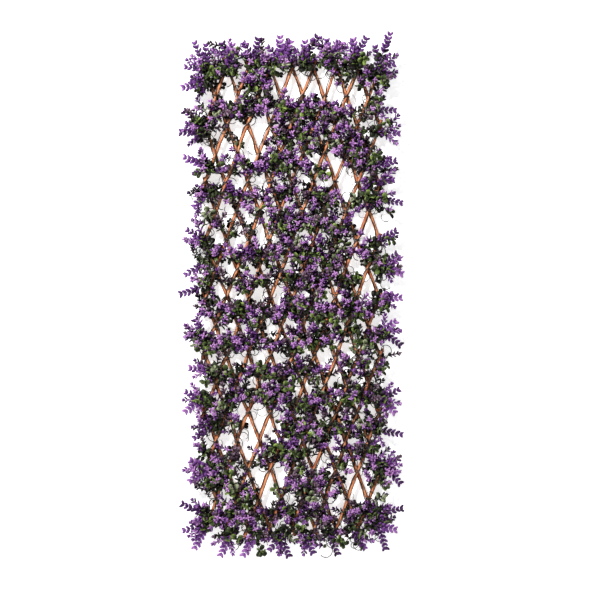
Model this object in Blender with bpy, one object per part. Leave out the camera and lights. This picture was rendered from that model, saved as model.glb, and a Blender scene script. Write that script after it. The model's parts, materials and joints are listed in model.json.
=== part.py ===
import math

import bmesh
import bpy
from mathutils import Matrix, Vector

# Lattice
half_columns = 16
rows = 16
pin_spacing = 0.068
half_angle_deg = 20.75

# Sticks
stick_thickness = 0.0075
stick_sides = 6
end_stub = 0.024
side_stub = 0.014
corner_stub = 0.054
stub_shares = (1.0, 0.72, 1.18, 0.9, 1.3, 0.8, 1.1)

# Nails and the centre pin
layer_gap = 0.0003
head_thickness = 0.0015
head_width = 0.0052
shank_width = 0.0016
hole_width = 0.0026
shank_sides = 4
head_sides = 5
nail_bite_share = 0.5
pin_shank_width = 0.0019
pin_head_width = 0.0092
pin_head_thickness = 0.0015
pin_sides = 12

# Vines
vine_width = 0.0016
vine_sides = 3
stalk_width = 0.0018
vine_length_share = 0.985

# Flower tufts
flower_reach_across = 0.0228
flower_reach_forward = 0.024
flower_reach_up = 0.0335
corner_reach_across = 0.018
corner_reach_up = 0.026
petal_count = 8
petal_back_shares = (1.0, 0.66)
petal_front_shares = (0.5, 0.8)
petal_rise_shares = (0.3, 0.72)
petal_turn_shares = (0.0, 0.35, 0.7, 0.15, 0.5)
tuft_rise = 0.0002

# Sprigs at the edges
sprig_reach_across = 0.0125
sprig_reach_deep = 0.0085
sprig_core_share = 0.45
sprig_spike_shares = (1.0, 0.9, 0.96, 0.86)
sprig_lean_share = 1.15
sprig_root_out = 0.011

# Leaf tufts in the diamonds
leaf_reach_across = 0.0125
leaf_reach_deep = 0.0068
leaf_length = 0.03
leaf_core_share = 0.5
leaf_spike_shares = (1.0, 0.9, 0.95, 0.85)

# The larger openings in the foliage, as shares of a half column and of a row, read by eye
opening_shares = (
    (2.6, 0.7), (7.0, 0.5), (8.9, 0.6), (10.9, 0.6), (13.2, 0.6),
    (13.7, 1.6), (15.4, 2.2), (5.4, 2.1), (3.2, 2.3), (1.2, 2.4), (4.4, 2.8),
    (12.0, 3.5), (3.6, 3.8), (1.6, 3.9), (9.2, 3.9), (5.3, 4.1), (13.0, 4.3),
    (3.6, 5.3), (15.0, 5.3), (1.7, 5.5), (5.2, 5.7),
    (2.7, 6.9), (13.8, 6.9), (1.8, 7.5), (15.0, 7.5), (6.6, 7.6), (4.9, 7.9),
    (6.3, 9.1), (12.8, 9.4), (5.0, 9.9), (7.2, 10.0), (3.2, 10.1),
    (12.0, 10.7), (14.5, 10.7), (9.0, 11.0), (13.9, 12.0), (6.0, 12.2), (3.2, 12.4), (4.9, 12.5),
    (12.4, 13.2), (10.3, 13.4), (4.0, 13.5),
    (5.6, 14.1), (6.6, 14.2), (14.0, 14.7), (5.4, 15.0), (7.8, 15.0), (12.2, 15.1),
)
opening_reach_shares = (0.9, 0.6)
leaf_cycle = 5
leaf_cycle_filled = 3
bare_back_stick = 1

# Sprigs along the edges, as shares of a row or of a half column: their spacing and their reach
side_tip_spacing_share = 0.8
left_reach_shares = (2.3, 2.0, 1.5, 2.4, 1.6, 0.9, 2.2, 1.8)
right_reach_shares = (1.7, 2.1, 1.4, 2.2, 1.6, 1.9)
end_tip_spacing_share = 1.6
top_reach_shares = (0.8, 1.0, 1.2, 0.9, 1.25, 1.05, 0.7)
bottom_reach_shares = (0.75, 1.0, 0.85)
end_tip_first_share = -0.8

# Corner clusters sit this share of a crossing in from the corners of the lattice
corner_in_share = 0.1

half_angle = math.radians(half_angle_deg)
half_column = pin_spacing * math.sin(half_angle)
row_height = pin_spacing * math.cos(half_angle)
back_rear = -(head_thickness + layer_gap)
back_front = back_rear - stick_thickness
front_rear = back_front - layer_gap
front_front = front_rear - stick_thickness
joint_depth = (back_front + front_rear) / 2
back_middle = (back_rear + back_front) / 2
front_middle = (front_rear + front_front) / 2
stick_half_across = stick_thickness / 2 / math.cos(math.pi / stick_sides)
vine_inner = vine_width / 2
vine_outer = vine_inner / math.cos(math.pi / vine_sides)
flower_base = front_front - layer_gap
sprig_middle = flower_base - sprig_reach_deep * sprig_lean_share
up_right = Vector((math.sin(half_angle), 0, math.cos(half_angle)))
up_left = Vector((-math.sin(half_angle), 0, math.cos(half_angle)))
beside_back = Vector((math.cos(half_angle), 0, math.sin(half_angle)))

for thing in list(bpy.data.objects):
    bpy.data.objects.remove(thing)

part = bpy.data.collections.new("artificial_flower_screen")
bpy.context.scene.collection.children.link(part)
cutters = bpy.data.collections.new("cutters")
bpy.context.scene.collection.children.link(cutters)
cutters.hide_render = True


def crossing(i, k, depth):
    x = (i - half_columns / 2) * half_column
    z = (rows / 2 - k) * row_height
    return Vector((x, depth, z))


def is_corner(i, k):
    return i in (0, half_columns) and k in (0, rows)


def front_crossings(a):
    low = max(0, 2 * a - rows)
    high = min(half_columns, 2 * a)
    return [(i, 2 * a - i) for i in range(low, high + 1) if not is_corner(i, 2 * a - i)]


def back_crossings(b):
    low = max(0, -2 * b)
    high = min(half_columns, rows - 2 * b)
    return [(i, i + 2 * b) for i in range(low, high + 1) if not is_corner(i, i + 2 * b)]


def stub(i, k, corner, turn):
    if corner:
        return corner_stub
    share = stub_shares[turn % len(stub_shares)]
    if k in (0, rows):
        return end_stub * share
    return side_stub * share


def is_open(i, k):
    across, up = opening_reach_shares
    return any(math.hypot((i - at[0]) / across, (k - at[1]) / up) < 1 for at in opening_shares)


def has_flowers(i, k):
    at_pin = (i, k) == (half_columns // 2, rows // 2)
    return (i + k) % 2 == 0 and not is_corner(i, k) and not at_pin and not is_open(i, k)


def has_leaves(i, k):
    between = (i + k) % 2 == 1 and 0 < i < half_columns
    return between and (2 * i + k) % leaf_cycle < leaf_cycle_filled and not is_open(i, k)


def edge_tips():
    tips = []
    for n in range(round(rows / side_tip_spacing_share) + 1):
        k = n * side_tip_spacing_share
        tips.append((-left_reach_shares[n % len(left_reach_shares)], k))
        tips.append((half_columns + right_reach_shares[n % len(right_reach_shares)], k))
    for n in range(round((half_columns - 2 * end_tip_first_share) / end_tip_spacing_share) + 1):
        i = end_tip_first_share + n * end_tip_spacing_share
        tips.append((i, -top_reach_shares[n % len(top_reach_shares)]))
        tips.append((i, rows + bottom_reach_shares[n % len(bottom_reach_shares)]))
    return tips


def turn_share(i, k):
    return petal_turn_shares[(2 * i + k) % len(petal_turn_shares)]


def material(name, colour, roughness):
    made = bpy.data.materials.new(name)
    made.use_nodes = True
    shader = made.node_tree.nodes["Principled BSDF"]
    shader.inputs["Base Color"].default_value = (*colour, 1)
    shader.inputs["Roughness"].default_value = roughness
    return made


def solid(name, shape, colour, roughness, pivot):
    bmesh.ops.recalc_face_normals(shape, faces=shape.faces)
    bmesh.ops.translate(shape, vec=-pivot, verts=shape.verts)
    mesh = bpy.data.meshes.new(name)
    shape.to_mesh(mesh)
    shape.free()
    mesh.materials.append(material(name, colour, roughness))
    made = bpy.data.objects.new(name, mesh)
    made.location = pivot
    part.objects.link(made)
    return made


def ride(garland, body):
    garland.location = (0, 0, 0)
    garland.parent = body


def cutter(name, shape):
    bmesh.ops.recalc_face_normals(shape, faces=shape.faces)
    mesh = bpy.data.meshes.new(name)
    shape.to_mesh(mesh)
    shape.free()
    made = bpy.data.objects.new(name, mesh)
    made.hide_render = True
    made.display_type = "WIRE"
    cutters.objects.link(made)
    return made


def combine(body, other, operation):
    step = body.modifiers.new(operation.lower(), "BOOLEAN")
    step.operation = operation
    step.solver = "EXACT"
    step.use_self = True
    step.object = other


def rod(shape, start, end, across, sides):
    along = end - start
    aim = Vector((0, 0, 1)).rotation_difference(along).to_matrix().to_4x4()
    turn = Matrix.Rotation(math.pi / sides, 4, "Z")
    radius = across / 2 / math.cos(math.pi / sides)
    bmesh.ops.create_cone(
        shape,
        cap_ends=True,
        segments=sides,
        radius1=radius,
        radius2=radius,
        depth=along.length,
        matrix=Matrix.Translation((start + end) / 2) @ aim @ turn,
    )


def tuft(shape, i, k, reach, turn):
    ball = bmesh.ops.create_uvsphere(shape, u_segments=petal_count, v_segments=3, radius=1)
    corners = sorted(ball["verts"], key=lambda corner: corner.co.z)
    rings = (
        (corners[1:1 + petal_count], petal_back_shares, petal_rise_shares[0]),
        (corners[1 + petal_count:-1], petal_front_shares, petal_rise_shares[1]),
    )
    corners[0].co = (0, 0, 0)
    corners[-1].co = (0, 0, 1)
    for ring, shares, rise in rings:
        ring.sort(key=lambda corner: math.atan2(corner.co.y, corner.co.x))
        for n, corner in enumerate(ring):
            angle = 2 * math.pi * (n + turn) / petal_count
            share = shares[n % 2]
            corner.co = (math.cos(angle) * share, math.sin(angle) * share, rise)
    across, forward, up = reach
    face = Matrix.Rotation(math.pi / 2, 4, "X")
    size = Matrix.Diagonal((across, up, forward, 1))
    foot = crossing(i, k, flower_base - tuft_rise)
    bmesh.ops.transform(shape, matrix=Matrix.Translation(foot) @ face @ size, verts=corners)


def sprig(shape, start, end, across, deep, core, spikes):
    ball = bmesh.ops.create_uvsphere(shape, u_segments=4, v_segments=2, radius=1)
    corners = list(ball["verts"])
    own = set(corners)
    sides = []
    for face in shape.faces:
        middle = face.calc_center_median()
        if own >= set(face.verts) and middle.x * middle.y < 0:
            sides.append(face)
    poked = list(bmesh.ops.poke(shape, faces=sides)["verts"])
    for corner in corners:
        corner.co.x *= core
        corner.co.y *= core
    for n, corner in enumerate(poked):
        corner.co = corner.co.normalized() * spikes[n % len(spikes)]
    along = end - start
    aim = Vector((0, 0, 1)).rotation_difference(along).to_matrix().to_4x4()
    turn = Matrix.Rotation(math.pi / 4, 4, "Z")
    size = Matrix.Diagonal((across, deep, along.length / 2, 1))
    place = Matrix.Translation((start + end) / 2) @ aim @ size @ turn
    bmesh.ops.transform(shape, matrix=place, verts=corners + poked)


def stick(name, first, last, pivot, colour):
    shape = bmesh.new()
    rod(shape, first, last, stick_thickness, stick_sides)
    return solid(name, shape, colour, 0.7, pivot)


willow = (0.3, 0.12, 0.05)
willow_dark = (0.22, 0.085, 0.035)
purple = (0.25, 0.08, 0.45)
green = (0.06, 0.13, 0.035)
steel = (0.08, 0.08, 0.08)

# The centre pin holds the two middle sticks, and its rear head lies against the wall
pin_front = front_front - layer_gap - pin_head_thickness
shape = bmesh.new()
rod(shape, Vector((0, pin_front, 0)), Vector((0, 0, 0)), pin_shank_width, pin_sides)
pin = solid("centre_pin", shape, steel, 0.4, Vector((0, 0, 0)))
shape = bmesh.new()
front_head = Vector((0, pin_front + pin_head_thickness, 0))
rod(shape, Vector((0, pin_front, 0)), front_head, pin_head_width, pin_sides)
rod(shape, Vector((0, -head_thickness, 0)), Vector((0, 0, 0)), pin_head_width, pin_sides)
combine(pin, cutter("centre_pin_heads", shape), "UNION")

# Which stick carries each corner cluster, and where
low_corner = corner_in_share
high_corner = half_columns - corner_in_share
front_corners = ((high_corner, low_corner), (low_corner, high_corner))
back_corners = ((low_corner, low_corner), (high_corner, high_corner))


# Every place on the lattice that an edge sprig can grow from
anchors = []
for k in range(rows + 1):
    for i in range(half_columns + 1):
        if has_flowers(i, k):
            anchors.append((i, k, "front", (i + k) // 2))
middle_stick = half_columns // 2
anchors += [(i, k, "front", middle_stick) for i, k in front_corners]
anchors += [(i, k, "back", 0) for i, k in back_corners]
sprigs = {}
for tip_i, tip_k in edge_tips():
    tip = crossing(tip_i, tip_k, sprig_middle)
    near = min(anchors, key=lambda at: (crossing(at[0], at[1], sprig_middle) - tip).length)
    root = crossing(near[0], near[1], sprig_middle)
    root += (tip - root).normalized() * sprig_root_out
    sprigs.setdefault(near[2:], []).append((root, tip))

flower_reach = (flower_reach_across, flower_reach_forward, flower_reach_up)
corner_reach = (corner_reach_across, flower_reach_forward, corner_reach_up)


def add_sprigs(shape, owner):
    for root, tip in sprigs.get(owner, []):
        sprig(
            shape, root, tip, sprig_reach_across, sprig_reach_deep,
            sprig_core_share, sprig_spike_shares,
        )


# Front sticks lean to the right and carry the nails and the flower garlands
for a in range(1, half_columns):
    places = front_crossings(a)
    corner = a == middle_stick
    low_place = crossing(*places[0], front_middle)
    high_place = crossing(*places[-1], front_middle)
    first = low_place - up_right * stub(*places[0], corner, a)
    last = high_place + up_right * stub(*places[-1], corner, a + 3)
    pivot = crossing(a, a, joint_depth)
    body = stick(f"front_stick_{a:02d}", first, last, pivot, willow)
    shape = bmesh.new()
    for i, k in places:
        if corner and i == middle_stick:
            continue
        bite = front_rear - stick_thickness * nail_bite_share
        head_front = crossing(i, k, -head_thickness)
        head_middle = crossing(i, k, -head_thickness / 2)
        rod(shape, crossing(i, k, bite), head_middle, shank_width, shank_sides)
        rod(shape, head_front, crossing(i, k, 0), head_width, head_sides)
    combine(body, cutter(f"nails_{a:02d}", shape), "UNION")
    if corner:
        shape = bmesh.new()
        through = Vector((0, layer_gap, 0))
        start = crossing(middle_stick, middle_stick, front_front) - through
        end = crossing(middle_stick, middle_stick, front_rear) + through
        rod(shape, start, end, hole_width, shank_sides)
        combine(body, cutter("middle_hole", shape), "DIFFERENCE")
    shape = bmesh.new()
    over_pin = layer_gap + pin_head_thickness if corner else 0
    rise = Vector((0, flower_base - vine_inner - over_pin - front_middle, 0))
    middle = (first + last) / 2 + rise
    half = (last - first) / 2 * vine_length_share
    rod(shape, middle - half, middle + half, vine_width, vine_sides)
    garland = solid(f"flower_garland_{a:02d}", shape, purple, 0.6, pivot)
    ride(garland, body)
    shape = bmesh.new()
    for i, k in places:
        if has_flowers(i, k):
            tuft(shape, i, k, flower_reach, turn_share(i, k))
    if corner:
        for i, k in front_corners:
            tuft(shape, i, k, corner_reach, 0)
            end = middle + half if i > middle_stick else middle - half
            near = middle + (end - middle) * vine_length_share
            rod(shape, near, crossing(i, k, sprig_middle), stalk_width, vine_sides)
    add_sprigs(shape, ("front", a))
    combine(garland, cutter(f"flowers_{a:02d}", shape), "UNION")

# Back sticks lean to the left, turn on the nails and carry the leaf garlands
vine_off = stick_half_across + layer_gap + vine_outer
for b in range(1 - middle_stick, middle_stick):
    number = b + middle_stick
    places = back_crossings(b)
    corner = b == 0
    high_place = crossing(*places[0], back_middle)
    low_place = crossing(*places[-1], back_middle)
    first = low_place - up_left * stub(*places[-1], corner, number)
    last = high_place + up_left * stub(*places[0], corner, number + 2)
    pivot = crossing(middle_stick - b, middle_stick + b, joint_depth)
    body = stick(f"back_stick_{number:02d}", first, last, pivot, willow_dark)
    shape = bmesh.new()
    through = Vector((0, layer_gap / 2, 0))
    for i, k in places:
        start = crossing(i, k, back_front) - through
        rod(shape, start, crossing(i, k, back_rear) + through, hole_width, shank_sides)
    combine(body, cutter(f"holes_{number:02d}", shape), "DIFFERENCE")
    cells = [(i + 1, k) for i, k in places[:-1] if has_leaves(i + 1, k)]
    if number == bare_back_stick or not cells:
        continue
    shape = bmesh.new()
    middle = (first + last) / 2 + beside_back * vine_off
    half = (last - first) / 2 * vine_length_share
    rod(shape, middle - half, middle + half, vine_width, vine_sides)
    garland = solid(f"leaf_garland_{number:02d}", shape, green, 0.6, pivot)
    ride(garland, body)
    shape = bmesh.new()
    for i, k in cells:
        side = crossing(i - 0.5, k + 0.5, back_middle) + beside_back * vine_off
        tip = side + up_right * leaf_length
        tip.y = front_front
        sprig(
            shape, side, tip, leaf_reach_across, leaf_reach_deep,
            leaf_core_share, leaf_spike_shares,
        )
    if corner:
        for i, k in back_corners:
            tuft(shape, i, k, corner_reach, 0)
            end = middle + half if i < middle_stick else middle - half
            near = middle + (end - middle) * vine_length_share
            rod(shape, near, crossing(i, k, sprig_middle), stalk_width, vine_sides)
    add_sprigs(shape, ("back", b))
    combine(garland, cutter(f"leaves_{number:02d}", shape), "UNION")
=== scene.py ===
import json
import random
from math import acos, copysign, cos, exp, hypot, pi, radians, sin, sqrt, tau

import bmesh
import bpy
from mathutils import Matrix, Quaternion, Vector

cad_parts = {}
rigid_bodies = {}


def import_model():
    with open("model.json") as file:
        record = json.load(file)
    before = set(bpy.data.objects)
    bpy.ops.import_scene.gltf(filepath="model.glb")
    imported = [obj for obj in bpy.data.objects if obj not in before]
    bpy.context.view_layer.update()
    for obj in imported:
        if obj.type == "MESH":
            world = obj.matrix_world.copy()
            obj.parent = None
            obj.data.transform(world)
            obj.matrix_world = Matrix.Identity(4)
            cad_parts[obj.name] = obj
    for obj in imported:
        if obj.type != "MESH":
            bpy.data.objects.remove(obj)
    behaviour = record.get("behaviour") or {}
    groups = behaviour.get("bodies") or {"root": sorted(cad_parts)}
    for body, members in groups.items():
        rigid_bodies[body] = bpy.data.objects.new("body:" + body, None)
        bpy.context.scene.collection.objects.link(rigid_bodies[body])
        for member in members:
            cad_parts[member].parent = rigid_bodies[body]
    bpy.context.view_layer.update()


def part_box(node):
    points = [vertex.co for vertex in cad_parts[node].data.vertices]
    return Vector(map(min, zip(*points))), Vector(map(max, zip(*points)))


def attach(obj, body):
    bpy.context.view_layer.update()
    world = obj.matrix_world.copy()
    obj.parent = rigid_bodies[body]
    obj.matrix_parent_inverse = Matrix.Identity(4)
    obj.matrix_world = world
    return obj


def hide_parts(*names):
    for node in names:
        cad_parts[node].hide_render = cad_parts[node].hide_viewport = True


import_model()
print("Frame loaded")

# The lattice of nailed willow sticks
lattice = {
    "columns": 16,
    "rows": 16,
    "pinSpacing": 0.068,
    "halfAngle": radians(20.75),
}
columns = lattice["columns"]
rows = lattice["rows"]
pinSpacing = lattice["pinSpacing"]
middleNumber = columns // 2
halfColumn = pinSpacing * sin(lattice["halfAngle"])
rowHeight = pinSpacing * cos(lattice["halfAngle"])
upRight = Vector((sin(lattice["halfAngle"]), 0, cos(lattice["halfAngle"])))
upLeft = Vector((-upRight.x, 0, upRight.z))
towardsViewer = Vector((0, -1, 0))
skyward = Vector((0, 0, 1))
rightward = Vector((1, 0, 0))

backLow, backHigh = (Vector(corner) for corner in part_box("back_stick_08"))
frontLow = Vector(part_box("front_stick_08")[0])
stickThickness = backHigh.y - backLow.y
backMiddle = (backHigh.y + backLow.y) / 2
frontMiddle = frontLow.y + stickThickness / 2

# The larger openings in the foliage, listed as shares of a half column and of a row
openingShares = (
    (2.6, 0.7), (7.0, 0.5), (8.9, 0.6), (10.9, 0.6), (13.2, 0.6),
    (13.7, 1.6), (15.4, 2.2), (5.4, 2.1), (3.2, 2.3), (1.2, 2.4), (4.4, 2.8),
    (12.0, 3.5), (3.6, 3.8), (1.6, 3.9), (9.2, 3.9), (5.3, 4.1), (13.0, 4.3),
    (3.6, 5.3), (15.0, 5.3), (1.7, 5.5), (5.2, 5.7),
    (2.7, 6.9), (13.8, 6.9), (1.8, 7.5), (15.0, 7.5), (6.6, 7.6), (4.9, 7.9),
    (6.3, 9.1), (12.8, 9.4), (5.0, 9.9), (7.2, 10.0), (3.2, 10.1),
    (12.0, 10.7), (14.5, 10.7), (9.0, 11.0), (13.9, 12.0), (6.0, 12.2), (2.5, 12.7), (4.5, 12.6),
    (12.4, 13.2), (10.3, 13.4), (3.5, 13.6),
    (5.6, 14.1), (6.6, 14.2), (14.0, 14.7), (5.4, 15.0), (7.8, 15.0), (12.2, 15.1),
)

# How bunches fill the rest: p mostly purple, m mixed, g mostly green, s small. Pairs of
# shares are of a half column and of a row; crossingShare is how many crossings get a bunch
layout = {
    "seed": 5,
    "edgeSeed": 7,
    "kinds": "ppppmmmggg",
    "openShares": (0.65, 0.5),
    "clearShares": (0.65, 0.45),
    "crossingShare": 0.5,
    "crossingOpenShares": (1.1, 0.7),
    "lift": 0.0005,
    "cornerShare": 0.1,
    "rimSpacingShare": 2.3,
    "rimOutShare": 0.25,
    "rimMixedEvery": 3,
}

# Sprigs along the edges: the spacing and the bare stretches are in rows at the sides and
# in half columns above and below, and the shortest and longest reach the other way round
edgeShares = {
    "left": {
        "first": 0.0, "spacing": 0.8, "reach": (0.9, 2.4),
        "bare": ((3.5, 4.5), (6.2, 6.8), (9.2, 9.7)),
    },
    "right": {
        "first": 0.0, "spacing": 0.8, "reach": (1.3, 2.2),
        "bare": ((0.4, 1.2), (5.0, 5.5), (10.3, 10.8)),
    },
    "top": {"first": -0.8, "spacing": 1.1, "reach": (0.7, 1.2), "bare": ()},
    "bottom": {"first": -0.8, "spacing": 2.2, "reach": (0.7, 1.0), "bare": ()},
}


def crossing(i, k, depth):
    x = (i - columns / 2) * halfColumn
    z = (rows / 2 - k) * rowHeight
    return Vector((x, depth, z))


def isOpen(i, k, reachShares):
    across, up = reachShares
    return any(hypot((i - at[0]) / across, (k - at[1]) / up) < 1 for at in openingShares)


def reachesIntoOpening(tip):
    i = tip.x / halfColumn + columns / 2
    k = rows / 2 - tip.z / rowHeight
    return isOpen(i, k, layout["clearShares"])


def isCorner(i, k):
    return i in (0, columns) and k in (0, rows)


# Shades are written as a screen shows them, from 0 to 255, and made linear by its rule
def colour(red, green, blue):
    def toLinear(value):
        value /= 255
        return value / 12.92 if value <= 0.04045 else ((value + 0.055) / 1.055) ** 2.4
    return (toLinear(red), toLinear(green), toLinear(blue), 1)


def toMesh(shape, name):
    mesh = bpy.data.meshes.new(name)
    shape.to_mesh(mesh)
    shape.free()
    return mesh


def addObject(name, data, group=None):
    made = bpy.data.objects.new(name, data)
    (group or bpy.context.scene.collection).objects.link(made)
    return made


def startMaterial(name):
    made = bpy.data.materials.new(name)
    made.use_nodes = True
    return made, made.node_tree, made.node_tree.nodes["Principled BSDF"]


# Each input of a node is given a value, one socket, or a list of sockets
def setInputs(node, inputs):
    for name, value in inputs.items():
        for part in value if isinstance(value, list) else [value]:
            if isinstance(part, bpy.types.NodeSocket):
                node.id_data.links.new(part, node.inputs[name])
            else:
                node.inputs[name].default_value = part


def addNode(tree, kind, inputs=None, **settings):
    node = tree.nodes.new(kind)
    for name, value in settings.items():
        setattr(node, name, value)
    setInputs(node, inputs or {})
    return node


def addSockets(tree, kinds, way="INPUT"):
    for name, kind in kinds.items():
        tree.interface.new_socket(name=name, in_out=way, socket_type="NodeSocket" + kind)


def addMath(tree, operation, first, second, clamp=False):
    node = addNode(tree, "ShaderNodeMath", {0: first, 1: second}, operation=operation, use_clamp=clamp)
    return node.outputs[0]


def addVectorMath(tree, operation, inputs):
    return addNode(tree, "ShaderNodeVectorMath", inputs, operation=operation).outputs[0]


def addWeighted(tree, total, value, weight, clamp=False):
    return addMath(tree, "ADD", total, addMath(tree, "MULTIPLY", value, weight), clamp)


def addMix(tree, factor, first, second):
    mix = addNode(tree, "ShaderNodeMix", {0: factor, 6: first, 7: second}, data_type="RGBA")
    return mix.outputs[2]


def addAttribute(tree, name, out="Fac"):
    return addNode(tree, "ShaderNodeAttribute", attribute_name=name).outputs[out]


def addRamp(tree, factor, stops):
    ramp = addNode(tree, "ShaderNodeValToRGB", {"Fac": factor})
    points = ramp.color_ramp.elements
    while len(points) < len(stops):
        points.new(0.5)
    for point, (place, shade) in zip(points, stops):
        point.position = place
        point.color = shade
    return ramp.outputs["Color"]


# Mottle is shared by every finish: soft patches and fine specks, each with detail and roughness
mottleLayers = (("Patch Scale", "Patches", 3.0, 0.55), ("Speck Scale", "Specks", 2.0, 0.6))


def makeMottleGroup():
    group = bpy.data.node_groups.new("mottle", "ShaderNodeTree")
    addSockets(group, {"Place": "Vector", "Patch Scale": "Float", "Speck Scale": "Float"})
    addSockets(group, {"Patches": "Float", "Specks": "Float"}, "OUTPUT")
    start = addNode(group, "NodeGroupInput")
    end = addNode(group, "NodeGroupOutput")
    for scale, out, detail, roughness in mottleLayers:
        noise = addNode(group, "ShaderNodeTexNoise", {
            "Vector": start.outputs["Place"], "Scale": start.outputs[scale],
            "Detail": detail, "Roughness": roughness,
        })
        setInputs(end, {out: noise.outputs["Fac"]})
    return group


mottleGroup = makeMottleGroup()
bumpStrength = 0.6


def newMaterial(name, finish):
    made, tree, shader = startMaterial(name)
    bump = addNode(tree, "ShaderNodeBump", {"Strength": bumpStrength, "Distance": finish["bumpHeight"]})
    setInputs(shader, {"Roughness": finish["roughness"], "Normal": bump.outputs["Normal"]})
    return made, tree, shader, bump


def addMottle(tree, place, patchScale, speckScale):
    inputs = {"Place": place, "Patch Scale": patchScale, "Speck Scale": speckScale}
    return addNode(tree, "ShaderNodeGroup", inputs, node_tree=mottleGroup)


def makeMottled(name, finish):
    made, tree, shader, bump = newMaterial(name, finish)
    place = addNode(tree, "ShaderNodeTexCoord").outputs["Object"]
    mottle = addMottle(tree, place, *finish["scales"])
    base = addRamp(tree, mottle.outputs["Patches"], finish["shades"])
    setInputs(shader, {"Base Color": base, "Metallic": finish["metallic"]})
    setInputs(bump, {"Height": mottle.outputs["Specks"]})
    return made


# Scales are those of the patches and of the specks, and shades stand at places on a ramp
barkFinish = {
    "roughness": 0.62,
    "bumpHeight": 0.0006,
    "streakScales": (620.0, 2600.0),
    "streakStretch": 0.09,
    "broadScales": (34.0, 1500.0),
    "broadWeight": 0.7,
    "broadShift": -0.35,
    # The sides of a stick are darkened and its front and back lightened: painted shade by which way the bark
    # faces
    "facingShadeWeight": 0.56,
    "sideShadeOffset": 0.36,
    "shades": (
        (0.26, colour(52, 24, 16)), (0.44, colour(130, 60, 32)),
        (0.6, colour(190, 104, 56)), (0.78, colour(226, 158, 108)),
    ),
    "knot": colour(48, 26, 18),
}


def makeBark():
    made, tree, shader, bump = newMaterial("willowBark", barkFinish)
    place = addAttribute(tree, "barkPlace", "Vector")
    stretch = addNode(tree, "ShaderNodeMapping", {
        "Vector": place, "Scale": (1, 1, barkFinish["streakStretch"]),
    })
    streaks = addMottle(tree, stretch.outputs["Vector"], *barkFinish["streakScales"])
    broad = addMottle(tree, place, *barkFinish["broadScales"])
    spread = addWeighted(tree, barkFinish["broadShift"], broad.outputs["Patches"], barkFinish["broadWeight"])
    # Painted shade: bark darker on the sides of the stick, lighter where it faces front or back
    facingShade = addWeighted(tree, -barkFinish["sideShadeOffset"], addAttribute(tree, "wornFace"), barkFinish["facingShadeWeight"])
    total = addMath(tree, "ADD", streaks.outputs["Patches"], spread)
    total = addMath(tree, "ADD", total, facingShade, clamp=True)
    base = addRamp(tree, total, barkFinish["shades"])
    knotted = addMix(tree, addAttribute(tree, "knot"), base, barkFinish["knot"])
    setInputs(shader, {"Base Color": knotted})
    height = addMath(tree, "ADD", streaks.outputs["Patches"], streaks.outputs["Specks"])
    setInputs(bump, {"Height": height})
    return made


cutFinish = {
    "roughness": 0.8,
    "bumpHeight": 0.0003,
    "metallic": 0.0,
    "scales": (700.0, 3000.0),
    "shades": ((0.3, colour(150, 98, 58)), (0.7, colour(214, 170, 120))),
}

steelFinish = {
    "roughness": 0.42,
    "bumpHeight": 0.0001,
    "metallic": 0.85,
    "scales": (400.0, 3000.0),
    "shades": ((0.35, colour(38, 34, 32)), (0.7, colour(92, 88, 84))),
}

stemFinish = {
    "roughness": 0.5,
    "bumpHeight": 0.0002,
    "metallic": 0.0,
    "scales": (90.0, 1600.0),
    "shades": ((0.38, colour(20, 14, 12)), (0.72, colour(58, 48, 36))),
}

leafFinish = {
    "roughness": 0.5,
    "bumpHeight": 0.0003,
    "specular": 0.3,
    "scales": (130.0, 1800.0),
    "alongToneAndShade": 0.24,
    "rimToneAndHighlight": 0.34,
    "patchTone": 0.4,
    "tintTone": 0.22,
    "greenDarker": 0.1,
    # Painted shade by depth: dark by the sticks, light towards the viewer
    "innerY": -0.014,
    "outerY": -0.036,
    "innerTone": -0.5,
    "outerTone": 0.18,
    "backFade": 2.0,
    "purple": ((0.12, colour(18, 5, 15)), (0.5, colour(112, 56, 140)), (0.9, colour(206, 152, 214))),
    "dusty": ((0.12, colour(18, 5, 15)), (0.5, colour(98, 72, 92)), (0.9, colour(178, 152, 170))),
    "olive": ((0.12, colour(10, 6, 4)), (0.5, colour(62, 76, 38)), (0.88, colour(146, 172, 82))),
    "sage": ((0.12, colour(10, 6, 4)), (0.45, colour(96, 106, 76)), (0.85, colour(166, 176, 138))),
    "dustyBelow": -0.45,
    "sageFrom": 0.42,
}


# Painted shade: a leaf is darker deep in the foliage by the sticks and lighter near the viewer, save on the
# side that faces the wall
def addPaintedDepthShade(tree, coordinates):
    place = addNode(tree, "ShaderNodeSeparateXYZ", {0: coordinates.outputs["Object"]})
    outer = addNode(tree, "ShaderNodeMapRange", {
        "Value": place.outputs["Y"],
        "From Min": leafFinish["innerY"], "From Max": leafFinish["outerY"],
        "To Min": leafFinish["innerTone"], "To Max": leafFinish["outerTone"],
    })
    facing = addNode(tree, "ShaderNodeSeparateXYZ", {0: coordinates.outputs["Normal"]})
    backward = addMath(tree, "MULTIPLY", facing.outputs["Y"], leafFinish["backFade"], clamp=True)
    forward = addMath(tree, "SUBTRACT", 1.0, backward)
    return addMath(tree, "MULTIPLY", outer.outputs["Result"], forward)


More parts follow.
